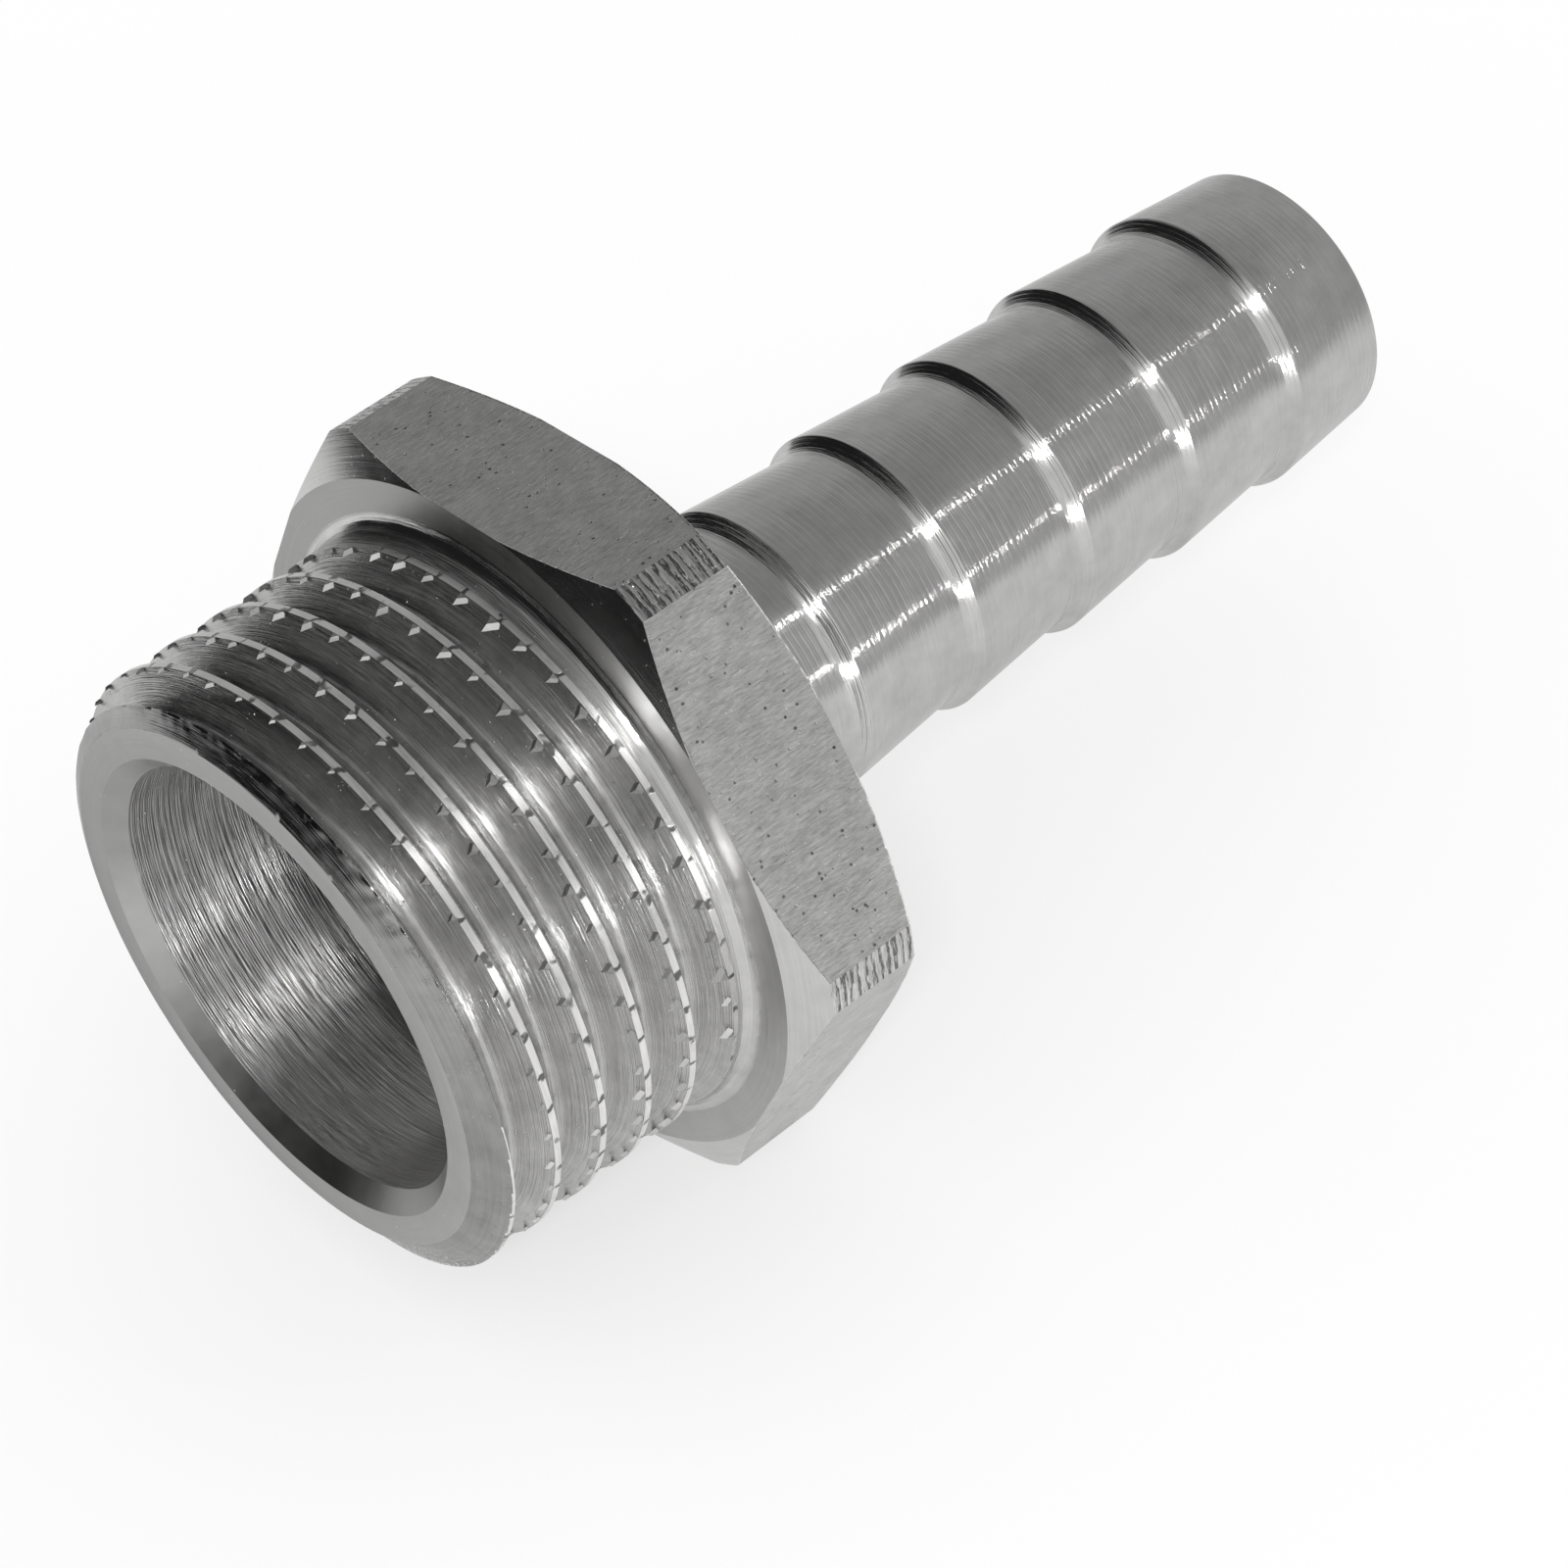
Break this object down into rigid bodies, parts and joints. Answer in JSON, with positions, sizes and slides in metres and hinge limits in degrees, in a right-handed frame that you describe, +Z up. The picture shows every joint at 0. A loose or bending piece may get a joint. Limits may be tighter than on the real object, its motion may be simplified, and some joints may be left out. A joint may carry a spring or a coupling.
{
  "type": "hose barb tail",
  "caption": "Turned metal hose tail: a male parallel pipe thread, a thin hexagon with turned corners and a straight tail with low stepped barbs, bored right through.",
  "frame": {"origin": "on the axis, in the seating face of the hexagon, where the thread's shank begins", "axes": "+X along the axis from the thread end to the tip of the tail; +Z up, square to the flat that the part lies on"},
  "size_m": [0.0451, 0.027, 0.024],
  "materials": {
    "metal": "turned"
  },
  "bodies": {
    "root": {"hose_tail": "metal"}
  },
  "joints": []
}
